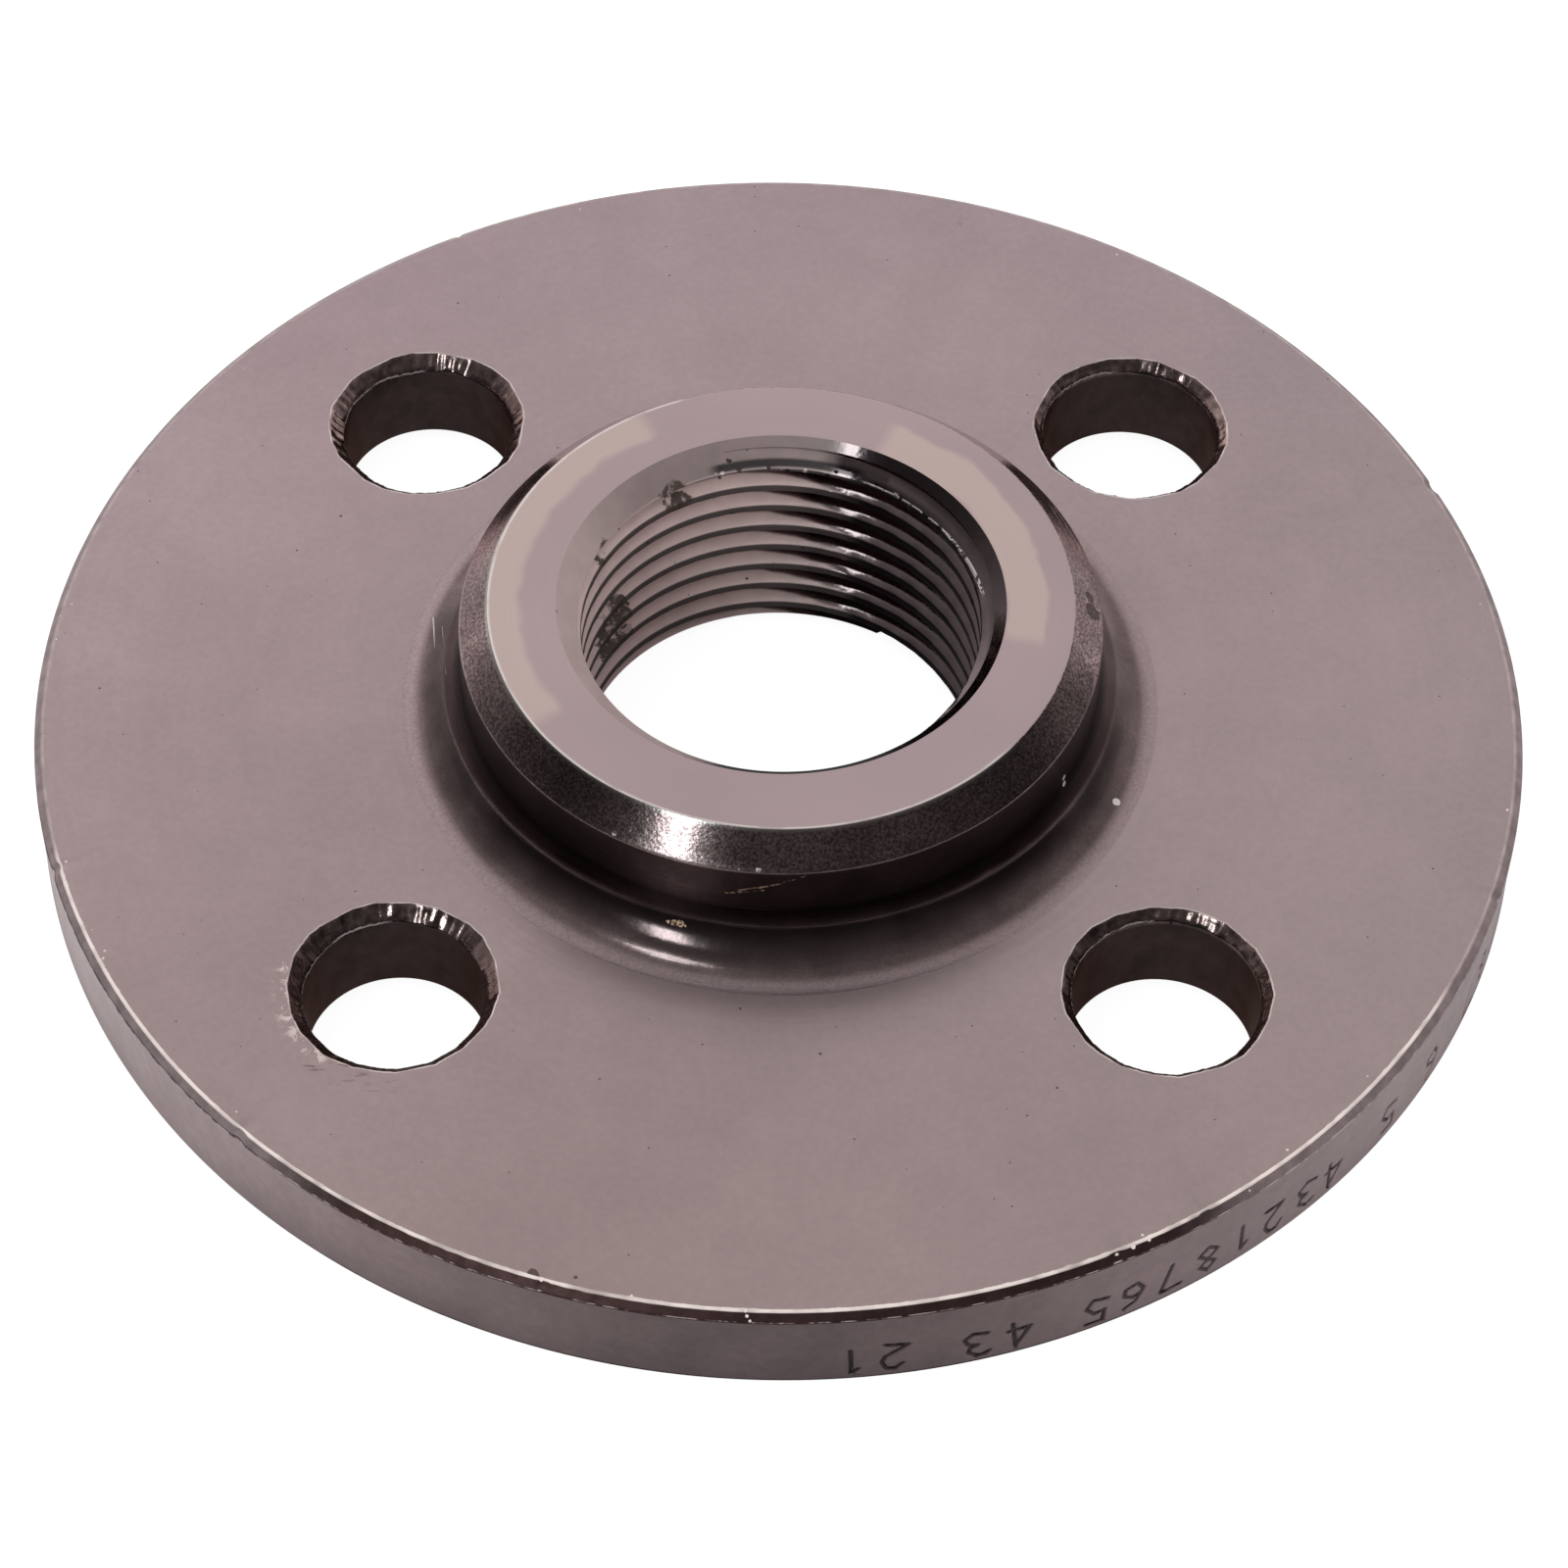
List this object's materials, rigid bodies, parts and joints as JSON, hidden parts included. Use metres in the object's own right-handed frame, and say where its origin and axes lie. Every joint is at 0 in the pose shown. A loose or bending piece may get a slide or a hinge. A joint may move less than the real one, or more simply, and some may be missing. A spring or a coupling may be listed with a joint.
{
  "type": "threaded flange",
  "caption": "Round screwed pipe flange: flat disc with bolt holes and a short bevelled hub with an internal pipe thread.",
  "frame": {"origin": "centre of the bore at the disc's flat back face", "axes": "+Z along the bore axis towards the hub; +X and +Y midway between bolt holes"},
  "size_m": [0.116, 0.116, 0.0197],
  "materials": {
    "steel": "satin, dark oiled"
  },
  "bodies": {
    "root": {"threaded_flange": "steel"}
  },
  "joints": []
}
